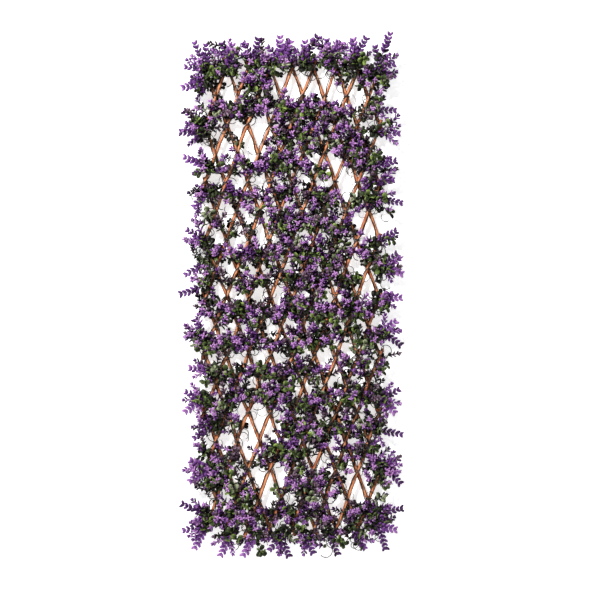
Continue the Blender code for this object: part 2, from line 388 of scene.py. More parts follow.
def makeLeaf():
    made, tree, shader, bump = newMaterial("mouldedLeaf", leafFinish)
    coordinates = addNode(tree, "ShaderNodeTexCoord")
    mottle = addMottle(tree, coordinates.outputs["Object"], *leafFinish["scales"])
    along = addAttribute(tree, "leafAlong")
    kind = addAttribute(tree, "leafKind")
    tint = addAttribute(tree, "sprigTint")
    # Leaflets darken towards the stem, partly their own colour and partly painted shade where they crowd
    # round it
    tone = addMath(tree, "MULTIPLY", along, leafFinish["alongToneAndShade"])
    # Paler rims, partly the leaflet's own colour and partly a painted highlight
    tone = addWeighted(tree, tone, addAttribute(tree, "leafEdge"), leafFinish["rimToneAndHighlight"])
    tone = addWeighted(tree, tone, mottle.outputs["Patches"], leafFinish["patchTone"])
    tone = addMath(tree, "ADD", tone, addPaintedDepthShade(tree, coordinates))
    tone = addMath(tree, "ADD", tone, addAttribute(tree, "leafTone"))
    tone = addWeighted(tree, tone, kind, -leafFinish["greenDarker"])
    tone = addWeighted(tree, tone, tint, leafFinish["tintTone"], clamp=True)
    shades = [addRamp(tree, tone, leafFinish[name]) for name in ("purple", "dusty", "olive", "sage")]
    isDusty = addMath(tree, "LESS_THAN", tint, leafFinish["dustyBelow"])
    isSage = addMath(tree, "GREATER_THAN", tint, leafFinish["sageFrom"])
    base = addMix(tree, kind, addMix(tree, isDusty, *shades[:2]), addMix(tree, isSage, *shades[2:]))
    setInputs(shader, {"Base Color": base, "Specular IOR Level": leafFinish["specular"]})
    setInputs(bump, {"Height": addMath(tree, "ADD", mottle.outputs["Specks"], along)})
    return made


bark = makeBark()
cutWood = makeMottled("cutWood", cutFinish)
steel = makeMottled("nailSteel", steelFinish)
mouldedLeaf = makeLeaf()
darkStem = makeMottled("darkStem", stemFinish)
print("Finishes made")

sources = bpy.data.collections.new("sources")
bpy.context.scene.collection.children.link(sources)


def keepSource(shape, name):
    for face in shape.faces:
        face.smooth = True
    return addObject(name, toMesh(shape, name), sources)


# One moulded leaflet: place along it, half width, half thickness and rise, as shares
leafletShares = {
    "purple": (
        (0, 0, 0, 0), (0.16, 0.7, 0.9, 0.04), (0.5, 1, 1, 0.07), (0.84, 0.72, 0.7, 0.03), (1, 0, 0, 0),
    ),
    "green": (
        (0, 0, 0, 0), (0.2, 0.72, 0.7, 0.06), (0.56, 1, 0.8, 0.08), (0.9, 0.76, 0.5, 0.02),
        (1, 0, 0, -0.04),
    ),
}
leafMarks = ("leafKind", "leafAlong", "leafEdge", "leafTone")
leafletLook = {"rings": 4, "thickness": 0.0018, "cupShare": 0.1, "tipEdge": 0.25, "stemAlong": 0.1}


def addLeaflet(shape, marks, base, forward, normal, length, width, isGreen, tone):
    side = normal.cross(forward)
    last = leafletLook["rings"]
    ball = bmesh.ops.create_uvsphere(shape, u_segments=4, v_segments=last, radius=1)["verts"]
    stations = leafletShares["green" if isGreen else "purple"]
    for corner in ball:
        flat = abs(corner.co.x) > abs(corner.co.y)
        reach = 1 if corner.co.x > 0 else -1
        top = 1 if corner.co.y > 0 else -1
        station = round(acos(max(-1, min(1, -corner.co.z))) / (pi / last))
        along, wide, thick, rise = stations[station]
        place = base + forward * along * length + normal * rise * length
        if 0 < station < last and flat:
            place += side * reach * wide * width / 2 + normal * leafletLook["cupShare"] * wide * width
        elif 0 < station < last:
            place += normal * top * thick * leafletLook["thickness"]
        corner.co = place
        corner[marks["leafKind"]] = float(isGreen)
        corner[marks["leafTone"]] = tone
        corner[marks["leafAlong"]] = along
        tipEdge = leafletLook["tipEdge"] * (station == last)
        corner[marks["leafEdge"]] = 1 if flat and 0 < station < last else tipEdge


def addStemPiece(shape, marks, start, end, startRadius, endRadius):
    along = end - start
    turn = along.to_track_quat("Z", "Y").to_matrix().to_4x4()
    made = bmesh.ops.create_cone(
        shape, cap_ends=True, cap_tris=True, segments=4, radius1=startRadius, radius2=endRadius,
        depth=along.length, matrix=Matrix.Translation((start + end) / 2) @ turn,
    )
    for corner in made["verts"]:
        corner[marks["leafKind"]] = 1
        corner[marks["leafAlong"]] = leafletLook["stemAlong"]


# Each kind of sprig: pairs of purple and of green leaflets on one stem, sizes in metres
sprigKinds = {
    "bud": {"purple": 3, "green": 0, "gap": 0.0052, "purpleLength": 0.011},
    "bloom": {"purple": 4, "green": 1, "gap": 0.0052, "purpleLength": 0.0112, "greenLength": 0.0125},
    "long": {"purple": 6, "green": 1, "gap": 0.005, "purpleLength": 0.0114, "greenLength": 0.0135},
    "edge": {"purple": 10, "green": 4, "gap": 0.0046, "purpleLength": 0.0138, "greenLength": 0.0145},
    "leafShort": {"purple": 0, "green": 2, "gap": 0.0068, "greenLength": 0.014},
    "leafLong": {"purple": 0, "green": 3, "gap": 0.0072, "greenLength": 0.015},
    "flat": {"purple": 0, "green": 2, "gap": 0.0084, "greenLength": 0.0155},
}
sprigLook = {
    "versions": 3,
    "seedStep": 100,
    "firstGap": 0.005,
    "tipReach": 0.011,
    "tipLeaflet": (0.009, 0.0046),
    "tipSpread": 0.36,
    "purpleWideShare": 0.42,
    "edgeWideShare": 0.52,
    "greenWideShare": 0.76,
    "flatWideShare": 0.84,
    "rootSizeShare": 1.05,
    "tipFallShare": 0.15,
    "edgeFacingShare": 0.62,
    "edgeRootShare": 1.1,
    "edgeFallShare": 0.6,
    "sizeShares": (0.9, 1.1),
    "toneSpread": 0.2,
    "edgeToneSpread": 0.08,
    "purpleLean": (55, 43),
    "edgeLean": (48, 37),
    "greenLean": (78, 55),
    "leanSpread": 7,
    "turnSpread": 0.12,
    "stemRadius": 0.0007,
    "stemRadiusShares": (1.2, 0.95, 0.6),
    "spineStep": 0.001,
    "bend": 0.12,
    "roll": 1.05,
    "standingRoll": 1.3,
    "standingSpread": 0.3,
    "twist": 0.15,
}


def sprigLength(name):
    kind = sprigKinds[name]
    pairs = kind["purple"] + kind["green"]
    return sprigLook["firstGap"] + kind["gap"] * (pairs - 1) + sprigLook["tipReach"]


# The lean, the length and the width share of the leaflets of one pair
def leafletForm(name, n, share):
    kind = sprigKinds[name]
    isGreen = n < kind["green"]
    lean = sprigLook["greenLean"] if isGreen else sprigLook["purpleLean"]
    if name in ("edge", "long") and not isGreen:
        lean = sprigLook["edgeLean"]
    size = kind["greenLength"] if isGreen else kind["purpleLength"]
    size *= sprigLook["rootSizeShare"] - sprigLook["tipFallShare"] * share ** 2
    if name == "edge" and n % 2 == 0:
        fall = sprigLook["edgeRootShare"] - sprigLook["edgeFallShare"] * share
        size *= sprigLook["edgeFacingShare"] * fall
    wide = sprigLook["greenWideShare"] if isGreen else sprigLook["purpleWideShare"]
    if name == "flat":
        wide = sprigLook["flatWideShare"]
    if name == "edge" and not isGreen:
        wide = sprigLook["edgeWideShare"]
    return lean, size, wide


def makeSprig(number, name, version):
    kind = sprigKinds[name]
    chance = random.Random(sprigLook["seedStep"] * number + version)
    shape = bmesh.new()
    marks = {mark: shape.verts.layers.float.new(mark) for mark in leafMarks}
    pairs = kind["purple"] + kind["green"]
    length = sprigLength(name) - sprigLook["tipReach"]
    bend = sprigLook["bend"] * chance.uniform(-1, 1)
    bendY = sprigLook["bend"] * chance.uniform(-1, 1)

    def spine(height):
        share = height / length
        return Vector((bend * share * height, bendY * share * height, height))

    stops = [0, length * 0.5, length]
    radii = [sprigLook["stemRadius"] * share for share in sprigLook["stemRadiusShares"]]
    for n in range(2):
        addStemPiece(shape, marks, spine(stops[n]), spine(stops[n + 1]), radii[n], radii[n + 1])
    spread = sprigLook["edgeToneSpread" if name == "edge" else "toneSpread"]
    for n in range(pairs):
        share = n / max(1, pairs - 1)
        lean, size, wide = leafletForm(name, n, share)
        height = sprigLook["firstGap"] + kind["gap"] * n
        axis = (spine(height + sprigLook["spineStep"]) - spine(height)).normalized()
        turn = pi / 2 * (1 if name == "flat" else n) + chance.uniform(-1, 1) * sprigLook["twist"]
        for half in (0, pi):
            angle = turn + half + chance.uniform(-sprigLook["turnSpread"], sprigLook["turnSpread"])
            tilt = lean[0] + (lean[1] - lean[0]) * share
            tilt = radians(tilt + chance.uniform(-sprigLook["leanSpread"], sprigLook["leanSpread"]))
            outward = Vector((cos(angle), sin(angle), 0))
            forward = (outward * sin(tilt) + axis * cos(tilt)).normalized()
            normal = (axis - forward * axis.dot(forward)).normalized()
            roll = chance.uniform(-1, 1) * sprigLook["roll"]
            if name == "flat" or name in ("edge", "long") and n % 2:
                roll = copysign(sprigLook["standingRoll"], roll) + sprigLook["standingSpread"] * roll
            normal.rotate(Quaternion(forward, roll))
            long = size * chance.uniform(*sprigLook["sizeShares"])
            tone = chance.uniform(-1, 1) * spread
            isGreen = n < kind["green"]
            addLeaflet(shape, marks, spine(height), forward, normal, long, long * wide, isGreen, tone)
    tipLength, tipWidth = sprigLook["tipLeaflet"]
    tipSpread = sprigLook["tipSpread"]
    for sideways in (0,) if name == "edge" else (-tipSpread, tipSpread):
        forward = Vector((0, sideways, 1)).normalized()
        isGreen = kind["purple"] == 0
        addLeaflet(shape, marks, spine(length), forward, rightward, tipLength, tipWidth, isGreen, 0.0)
    bmesh.ops.recalc_face_normals(shape, faces=shape.faces)
    keepSource(shape, f"sprig{number}{version}")


for number, name in enumerate(sprigKinds):
    for version in range(sprigLook["versions"]):
        makeSprig(number, name, version)
print("Sprigs modelled")

# A bent nail: a flat head behind the back stick and a clenched point in front
nail = {
    "headRadius": 0.0026,
    "headThickness": 0.0013,
    "headHalfShare": 0.5,
    "headSinkShare": 0.55,
    "pointRadius": 0.0012,
    "pointTallShare": 1.6,
    "pointOut": 0.0007,
    "pointDeepShare": 2,
    "pointSinkShare": 0.6,
}


def addNailBall(shape, segments, size, y):
    ball = bmesh.ops.create_uvsphere(shape, u_segments=segments, v_segments=6, radius=1)["verts"]
    facing = Matrix.Rotation(pi / 2, 4, "X")
    matrix = Matrix.Translation((0, y, 0)) @ facing @ Matrix.Diagonal((*size, 1))
    bmesh.ops.transform(shape, matrix=matrix, verts=ball)


def makeNail():
    shape = bmesh.new()
    deep = nail["headThickness"] * nail["headHalfShare"]
    back = -nail["headThickness"] * nail["headSinkShare"]
    addNailBall(shape, 12, (nail["headRadius"], nail["headRadius"], deep), back)
    tall = nail["pointRadius"] * nail["pointTallShare"]
    deep = nail["pointOut"] * nail["pointDeepShare"]
    front = frontLow.y + nail["pointOut"] * nail["pointSinkShare"]
    addNailBall(shape, 10, (nail["pointRadius"], tall, deep), front)
    return keepSource(shape, "nail")


nailSource = makeNail()


def startTree(name):
    tree = bpy.data.node_groups.new(name, "GeometryNodeTree")
    for way in ("INPUT", "OUTPUT"):
        addSockets(tree, {"Geometry": "Geometry"}, way)
    return tree, addNode(tree, "NodeGroupInput"), addNode(tree, "NodeGroupOutput")


def readNamed(tree, name, kind="FLOAT"):
    node = addNode(tree, "GeometryNodeInputNamedAttribute", {"Name": name}, data_type=kind)
    return node.outputs["Attribute"]


def storeNamed(tree, geometry, name, value, kind="FLOAT"):
    inputs = {"Geometry": geometry, "Name": name, "Value": value}
    node = addNode(tree, "GeometryNodeStoreNamedAttribute", inputs, data_type=kind, domain="POINT")
    return node.outputs["Geometry"]


def splitMarked(tree, geometry, name):
    inputs = {"Geometry": geometry, "Selection": readNamed(tree, name)}
    return addNode(tree, "GeometryNodeSeparateGeometry", inputs, domain="POINT")


def tubeFrom(tree, line, radiusName, sides):
    curve = addNode(tree, "GeometryNodeMeshToCurve", {"Mesh": line})
    radius = addNode(tree, "GeometryNodeSetCurveRadius", {
        "Curve": curve.outputs["Curve"], "Radius": readNamed(tree, radiusName),
    })
    ring = addNode(tree, "GeometryNodeCurvePrimitiveCircle", {"Resolution": sides, "Radius": 1})
    inputs = {"Curve": radius.outputs["Curve"], "Fill Caps": True}
    sweep = addNode(tree, "GeometryNodeCurveToMesh", inputs)
    if "Scale" in sweep.inputs:
        setInputs(sweep, {"Scale": readNamed(tree, radiusName)})
    return ring, sweep


def giveMaterial(tree, mesh, material, chosen=True):
    inputs = {"Geometry": mesh, "Selection": chosen, "Material": material}
    return addNode(tree, "GeometryNodeSetMaterial", inputs).outputs["Geometry"]


def smoothAndFinish(tree, mesh, material):
    smooth = addNode(tree, "GeometryNodeSetShadeSmooth", {"Geometry": mesh})
    return giveMaterial(tree, smooth.outputs["Geometry"], material)


def placeCopies(tree, inputs, material):
    copies = addNode(tree, "GeometryNodeInstanceOnPoints", inputs)
    real = addNode(tree, "GeometryNodeRealizeInstances", {"Geometry": copies.outputs["Instances"]})
    return giveMaterial(tree, real.outputs["Geometry"], material)


def endTree(tree, end, pieces):
    join = addNode(tree, "GeometryNodeJoinGeometry", {"Geometry": pieces})
    setInputs(end, {"Geometry": join.outputs["Geometry"]})
    return tree


stickLook = {
    "radius": 0.00362,
    "sides": 12,
    "step": 0.005,
    "fewestSteps": 4,
    "seeds": {"front": 0, "back": 40},
    "thicknessShares": (0.93, 1.03),
    "rootRadiusShare": 1.03,
    "taperShare": 0.08,
    "rippleShare": 0.025,
    "rippleWaves": 90,
    "bow": 0.0017,
    "bowLength": 0.52,
    "wiggle": 0.0006,
    "wiggleLength": 0.12,
    "knottedShare": 0.62,
    "knotPlaceShares": (0.3, 0.7),
    "knotRiseShare": 0.19,
    "knotDarkShare": 0.75,
    "knotLength": 0.0035,
    "ridgeHeight": 0.0004,
    "ridgeScale": 420.0,
    "ridgeStretch": 0.25,
    "ridgeDetail": 2.0,
    "ridgeRoughness": 0.6,
    "barkStep": 1.7,
    "barkShift": {"front": 0, "back": 31.0},
}


# A stick: a line becomes a ridged bark tube with cut ends, and marked points get a nail
def makeStickTree():
    tree, start, end = startTree("dressStick")
    addSockets(tree, {
        "Sides": "Int", "Ridge Height": "Float", "Ridge Scale": "Float", "Nail": "Object",
        "Bark": "Material", "Cut Wood": "Material", "Steel": "Material",
    })
    given = start.outputs
    split = splitMarked(tree, given["Geometry"], "isNail")
    ring, sweep = tubeFrom(tree, split.outputs["Inverted"], "barkRadius", given["Sides"])
    position = addNode(tree, "GeometryNodeInputPosition").outputs["Position"]
    profile = storeNamed(tree, ring.outputs["Curve"], "ringPlace", position, "FLOAT_VECTOR")
    setInputs(sweep, {"Profile Curve": profile})

    around = addVectorMath(tree, "SCALE", {
        0: readNamed(tree, "ringPlace", "FLOAT_VECTOR"), "Scale": readNamed(tree, "barkRadius"),
    })
    lengthwise = addNode(tree, "ShaderNodeCombineXYZ", {"Z": readNamed(tree, "alongStick")})
    total = addVectorMath(tree, "ADD", {0: around, 1: lengthwise.outputs[0]})
    marked = storeNamed(tree, sweep.outputs["Mesh"], "barkPlace", total, "FLOAT_VECTOR")

    # How squarely a face looks front or back, kept for the painted shade on the stick's sides
    normal = addNode(tree, "GeometryNodeInputNormal").outputs["Normal"]
    parts = addNode(tree, "ShaderNodeSeparateXYZ", {0: normal})
    facingShade = addMath(tree, "ABSOLUTE", parts.outputs["Y"], 0.0)
    marked = storeNamed(tree, marked, "wornFace", facingShade)

    stretched = addVectorMath(tree, "MULTIPLY", {
        0: readNamed(tree, "barkPlace", "FLOAT_VECTOR"), 1: (1, 1, stickLook["ridgeStretch"]),
    })
    noise = addNode(tree, "ShaderNodeTexNoise", {
        "Vector": stretched, "Scale": given["Ridge Scale"],
        "Detail": stickLook["ridgeDetail"], "Roughness": stickLook["ridgeRoughness"],
    })
    centred = addMath(tree, "SUBTRACT", noise.outputs["Fac"], 0.5)
    height = addMath(tree, "MULTIPLY", centred, given["Ridge Height"])
    push = addVectorMath(tree, "SCALE", {0: normal, "Scale": height})
    moved = addNode(tree, "GeometryNodeSetPosition", {"Geometry": marked, "Offset": push})
    barked = smoothAndFinish(tree, moved.outputs["Geometry"], given["Bark"])

    # Only the end caps have more than four corners
    corners = addNode(tree, "GeometryNodeInputMeshFaceNeighbors").outputs["Vertex Count"]
    isCap = addNode(tree, "FunctionNodeCompare", {2: corners, 3: 4}, data_type="INT")
    isCap.operation = "GREATER_THAN"
    capped = giveMaterial(tree, barked, given["Cut Wood"], isCap.outputs["Result"])

    info = addNode(tree, "GeometryNodeObjectInfo", {"Object": given["Nail"]})
    inputs = {"Points": split.outputs["Selection"], "Instance": info.outputs["Geometry"]}
    return endTree(tree, end, [capped, placeCopies(tree, inputs, given["Steel"])])


# A garland: lines become dark stems, and marked points get a sprig of their own kind and turn
def makeGarlandTree():
    tree, start, end = startTree("growGarland")
    addSockets(tree, {
        "Sprigs": "Collection", "Stem Sides": "Int", "Leaf": "Material", "Stem": "Material",
    })
    given = start.outputs
    split = splitMarked(tree, given["Geometry"], "isSprig")
    ring, sweep = tubeFrom(tree, split.outputs["Inverted"], "stemRadius", given["Stem Sides"])
    setInputs(sweep, {"Profile Curve": ring.outputs["Curve"]})
    stems = smoothAndFinish(tree, sweep.outputs["Mesh"], given["Stem"])

    family = addNode(tree, "GeometryNodeCollectionInfo", {
        "Collection": given["Sprigs"], "Separate Children": True, "Reset Children": True,
    })
    turn = addNode(tree, "FunctionNodeEulerToRotation", {
        "Euler": readNamed(tree, "sprigTurn", "FLOAT_VECTOR"),
    })
    leaved = placeCopies(tree, {
        "Points": split.outputs["Selection"],
        "Instance": family.outputs["Instances"],
        "Pick Instance": True,
        "Instance Index": readNamed(tree, "sprigKind", "INT"),
        "Rotation": turn.outputs["Rotation"],
        "Scale": readNamed(tree, "sprigSize"),
    }, given["Leaf"])
    return endTree(tree, end, [stems, leaved])


stickTree = makeStickTree()
garlandTree = makeGarlandTree()
sprigFamily = bpy.data.collections.new("sprigFamily")
for source in sources.objects:
    if source.name.startswith("sprig"):
        sprigFamily.objects.link(source)
print("Node trees built")


def markPoints(mesh, name, known):
    sample = next(iter(known.values()))
    kind, field, empty = "FLOAT_VECTOR", "vector", (0, 0, 0)
    if isinstance(sample, (int, float)):
        kind, field, empty = "INT" if isinstance(sample, int) else "FLOAT", "value", 0
    values = [known.get(n, empty) for n in range(len(mesh.vertices))]
    if field == "vector":
        values = [part for value in values for part in value]
    mesh.attributes.new(name, kind, "POINT").data.foreach_set(field, values)


# Lines and points become one mesh, and the tree turns it into a piece
def grow(name, lines, points, tree, settings):
    places, links, marks = [], [], {}

    def remember(values, count):
        for key, value in values.items():
            marks.setdefault(key, {})
            for n in range(count):
                marks[key][len(places) - count + n] = value[n] if isinstance(value, list) else value

    for line in lines:
        first = len(places)
        places.extend(line["places"])
        links.extend((first + n, first + n + 1) for n in range(len(line["places"]) - 1))
        remember({key: value for key, value in line.items() if key != "places"}, len(line["places"]))
    for point in points:
        places.append(point["place"])
        remember({key: value for key, value in point.items() if key != "place"}, 1)
    mesh = bpy.data.meshes.new(name)
    mesh.from_pydata([tuple(place) for place in places], links, [])
    for key, known in marks.items():
        markPoints(mesh, key, known)
    seed = addObject(name + "Seed", mesh)
    step = seed.modifiers.new("grow", "NODES")
    step.node_group = tree
    for item in tree.interface.items_tree:
        if item.item_type == "SOCKET" and item.in_out == "INPUT" and item.name in settings:
            step[item.identifier] = settings[item.name]
    shown = bpy.context.evaluated_depsgraph_get()
    grown = bpy.data.meshes.new_from_object(seed.evaluated_get(shown))
    grown.name = name
    seed.modifiers.remove(step)
    bpy.data.objects.remove(seed)
    return addObject(name, grown)


# The line of one stick, read from its solid's box
class Stick:
    def __init__(self, layer, number):
        self.name = f"{layer}_stick_{number:02d}"
        self.number = number
        self.layer = layer
        self.upward = upRight if layer == "front" else upLeft
        self.across = Vector((self.upward.z, 0, -self.upward.x))
        self.depth = frontMiddle if layer == "front" else backMiddle
        low, high = (Vector(corner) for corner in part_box(self.name))
        middle = (low + high) / 2
        self.middle = Vector((middle.x, self.depth, middle.z))
        self.length = (high.z - low.z - stickThickness * abs(self.upward.x)) / self.upward.z
        self.chance = random.Random(number + stickLook["seeds"][layer])
        self.phases = [self.chance.uniform(0, tau) for _ in range(4)]
        self.thickness = self.chance.uniform(*stickLook["thicknessShares"])
        if layer == "front":
            pairs = [(i, 2 * number - i) for i in range(columns + 1)]
        else:
            pairs = [(i, i + 2 * (number - middleNumber)) for i in range(columns + 1)]
        self.places = [(i, k) for i, k in pairs if 0 <= k <= rows and not isCorner(i, k)]

    # How far along the stick a place lies, in metres from its lower end
    def distanceTo(self, place):
        return (place - self.middle).dot(self.upward) + self.length / 2

    def at(self, along):
        bow = stickLook["bow"] * sin(tau * along / stickLook["bowLength"] + self.phases[0])
        turn = tau * along / stickLook["wiggleLength"] + self.phases[1]
        wave = stickLook["wiggle"] * sin(turn)
        return self.middle + self.upward * (along - self.length / 2) + self.across * (bow + wave)


def chooseKnots(stick):
    knots = []
    for i, k in stick.places:
        near = stick.distanceTo(crossing(i, k, stick.depth))
        if stick.chance.random() < stickLook["knottedShare"]:
            knots.append(near + pinSpacing * stick.chance.uniform(*stickLook["knotPlaceShares"]))
    return knots


def makeStick(stick):
    count = max(stickLook["fewestSteps"], int(stick.length / stickLook["step"]))
    knots = chooseKnots(stick)
    places, radii, alongs, darks = [], [], [], []
    for n in range(count + 1):
        along = stick.length * n / count
        ripple = stickLook["rippleShare"] * sin(along * stickLook["rippleWaves"] + stick.phases[2])
        taper = stickLook["taperShare"] * along / stick.length
        radius = stickLook["radius"] * stick.thickness
        radius *= stickLook["rootRadiusShare"] - taper + ripple
        dark = 0.0
        for knot in knots:
            near = exp(-((along - knot) / stickLook["knotLength"]) ** 2)
            radius *= 1 + stickLook["knotRiseShare"] * near
            dark = max(dark, stickLook["knotDarkShare"] * near)
        places.append(stick.at(along))
        radii.append(radius)
        alongs.append(along + stick.number * stickLook["barkStep"] + stickLook["barkShift"][stick.layer])
        darks.append(dark)
    line = {"places": places, "barkRadius": radii, "alongStick": alongs, "knot": darks, "isNail": 0.0}
    nails = []
    if stick.layer == "front":
        for i, k in stick.places:
            if (i, k) != (middleNumber, middleNumber):
                nails.append({"place": crossing(i, k, 0), "isNail": 1.0})
    settings = {
        "Sides": stickLook["sides"], "Ridge Height": stickLook["ridgeHeight"],
        "Ridge Scale": stickLook["ridgeScale"], "Nail": nailSource,
        "Bark": bark, "Cut Wood": cutWood, "Steel": steel,
    }
    name = f"willow{stick.layer.capitalize()}{stick.number:02d}"
    piece = grow(name, [line], nails, stickTree, settings)
    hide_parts(stick.name)
    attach(piece, stick.name)


sticks = {}
for layer in ("front", "back"):
    for number in range(1, columns):
        stick = Stick(layer, number)
        sticks[layer, number] = stick
        makeStick(stick)
print("Sticks made")

for part in bpy.data.objects:
    if part.name == "centre_pin":
        part.data.materials.clear()
        part.data.materials.append(steel)

garlandLook = {
    "stemRadius": 0.0008,
    "stemSides": 6,
    "frontLimit": -0.046,
    "edgeDepth": -0.028,
    "tieShare": 0.6,
    "flatFrom": 0.7,
    "flatRoll": 0.3,
    "tooShort": 0.05,
    "fallback": (0.3, 0, 1),
}


def addSprig(plan, chance, base, direction, kind, size, tint):
    flatness = hypot(direction.x, direction.z) / direction.length
    mostRoll = garlandLook["flatRoll"] if flatness > garlandLook["flatFrom"] else pi
    roll = chance.uniform(-1, 1) * mostRoll
    version = chance.randrange(sprigLook["versions"])
    direction = direction.normalized()
    length = sprigLength(kind) * size
    deepest = garlandLook["frontLimit"] - base.y
    if direction.y * length < deepest:
        flat = Vector((direction.x, 0, direction.z))
        if flat.length < garlandLook["tooShort"]:
            flat = Vector(garlandLook["fallback"])
        depth = deepest / length
        direction = flat.normalized() * sqrt(max(0.0, 1 - depth ** 2)) + Vector((0, depth, 0))
    facing = towardsViewer - direction * towardsViewer.dot(direction)
    if facing.length < garlandLook["tooShort"]:
        facing = rightward - direction * direction.x
    facing.normalize()
    upright = Matrix((facing, direction.cross(facing), direction)).transposed().to_quaternion()
    turn = upright @ Quaternion(skyward, roll)
    plan["sprigs"].append({
        "place": base,
        "isSprig": 1.0,
        "sprigTurn": tuple(turn.to_euler()),
        "sprigSize": float(size),
        "sprigKind": list(sprigKinds).index(kind) * sprigLook["versions"] + version,
        "sprigTint": tint,
    })


def addStem(plan, places, radius=garlandLook["stemRadius"]):
    plan["stems"].append({"places": places, "stemRadius": float(radius), "isSprig": 0.0})


curlLook = {
    "radius": 0.0009,
    "points": 12,
    "turn": (1.2, 2.6),
    "turnSteps": 4,
    "reach": (0.014, 0.026),
    "reachSteps": 5,
    "forward": 0.12,
    "droop": 0.25,
}


def addCurl(plan, chance, start, radius):
    places = []
    turn = chance.uniform(0, tau)
    heading = chance.choice((-1, 1)) * chance.uniform(*curlLook["turn"])
    reach = chance.uniform(*curlLook["reach"])
    place = start.copy()
    for _ in range(curlLook["points"]):
        places.append(place.copy())
        turn += heading / curlLook["turnSteps"]
        step = Vector((cos(turn), -curlLook["forward"], sin(turn) - curlLook["droop"]))
        place += step.normalized() * reach / curlLook["reachSteps"]
    addStem(plan, places, radius)


# The vine swings round a front stick and lies beside a back one
vineLook = {
    "radius": 0.0011,
    "step": 0.006,
    "end": 0.004,
    "off": 0.0049,
    "offShare": 0.12,
    "offWaves": 61,
    "frontSwing": 1.9,
    "frontChange": 0.4,
    "frontWaves": 37,
    "backLean": 1.5,
    "backSwing": 1.25,
}


def growVine(plan, stick):
    places = []
    count = int(stick.length / vineLook["step"])
    zero = stick.distanceTo(crossing(*stick.places[0], stick.depth))
    sideways = stick.chance.choice((-1, 1))
    for n in range(count + 1):
        along = vineLook["end"] + (stick.length - 2 * vineLook["end"]) * n / count
        swing = sin(pi * (along - zero) / pinSpacing)
        if stick.layer == "front":
            change = vineLook["frontChange"] * sin(along * vineLook["frontWaves"] + stick.phases[3])
            angle = sideways * swing * (vineLook["frontSwing"] + change)
        else:
            angle = sideways * (vineLook["backLean"] - vineLook["backSwing"] * swing ** 2)
        change = vineLook["offShare"] * sin(along * vineLook["offWaves"] + stick.phases[2])
        outward = stick.across * sin(angle) + towardsViewer * cos(angle)
        places.append(stick.at(along) + outward * vineLook["off"] * (1 + change))
    addStem(plan, places, vineLook["radius"])


bunchMix = {
    "p": {"purple": 9, "green": 1, "under": 2},
    "m": {"purple": 7, "green": 2, "under": 2},
    "g": {"purple": 4, "green": 3, "under": 2},
    "s": {"purple": 3, "green": 1, "under": 1},
}
bunchLook = {
    "shift": 0.017,
    "spread": 0.0175,
    "offStick": (0.006, 0.014),
    "stemRootShare": 0.25,
    "facingShare": 0.26,
    "facingLean": (8, 32),
    "facingKinds": ("bud", "bud", "bloom"),
    "facingTint": (0.1, 1.0),
    "sideLean": (48, 82),
    "sideKinds": ("bud", "bloom", "bloom", "long"),
    "sideTint": (-0.9, 0.3),
    "purpleFan": (8, 95),
    "greenFan": (50, 150),
    "greenLean": (10, 60),
    "greenKinds": ("leafShort", "leafShort", "leafLong"),
    "greenTint": (-0.5, 0.6),
    "sizeShares": (0.85, 1.1),
    "curls": 4,
    "underKind": "flat",
    "underSizeShares": (0.55, 0.75),
    # The under sprigs are tinted near black as painted shade deep in the bunch
    "underShadeTints": (-1.0, -0.8, -0.6),
    "underForward": (-0.1, 0),
    "underY": -0.0075,
}


def fanOut(chance, side, fan, leans):
    lean = radians(chance.uniform(*leans))
    turn = radians(chance.uniform(*fan)) * side
    flat = Vector((sin(turn), 0, cos(turn)))
    return flat * sin(lean) + towardsViewer * cos(lean)


def growBunch(plan, chance, root, along, across, mark):
    counts = bunchMix[mark]
    root = root + along * chance.uniform(-1, 1) * bunchLook["shift"]

    def somewhere():
        return root + along * chance.uniform(-1, 1) * bunchLook["spread"]

    for n in range(counts["purple"] + counts["green"]):
        side = 1 if n % 2 else -1
        off = across * side * chance.uniform(*bunchLook["offStick"])
        base = somewhere() + off
        if n < counts["purple"]:
            way = "facing" if chance.random() < bunchLook["facingShare"] else "side"
            fan = bunchLook["purpleFan"]
        else:
            way = "green"
            fan = bunchLook["greenFan"]
        direction = fanOut(chance, side, fan, bunchLook[way + "Lean"])
        kind = chance.choice(bunchLook[way + "Kinds"])
        tint = chance.uniform(*bunchLook[way + "Tint"])
        size = chance.uniform(*bunchLook["sizeShares"])
        if reachesIntoOpening(base + direction * sprigLength(kind) * size):
            continue
        addSprig(plan, chance, base, direction, kind, size, tint)
        addStem(plan, [root + off * bunchLook["stemRootShare"], base])
    # Dark leaves under each bunch stand in for the deep shade inside it
    for n in range(counts["under"]):
        azimuth = tau * (n + chance.uniform(-0.5, 0.5)) / counts["under"]
        forward = chance.uniform(*bunchLook["underForward"])
        direction = Vector((cos(azimuth), forward, sin(azimuth)))
        base = somewhere()
        base.y = bunchLook["underY"]
        size = chance.uniform(*bunchLook["underSizeShares"])
        tint = chance.choice(bunchLook["underShadeTints"])
        addSprig(plan, chance, base, direction, bunchLook["underKind"], size, tint)
    for _ in range(bunchLook["curls"]):
        addCurl(plan, chance, somewhere(), curlLook["radius"])


tieLook = {
    "radius": 0.0006,
    "reach": 0.0066,
    "tilt": 0.35,
    "turns": (1.6, 2.1),
    "pointsPerTurn": 16,
    "lift": 0.002,
    "drift": 0.0016,
}


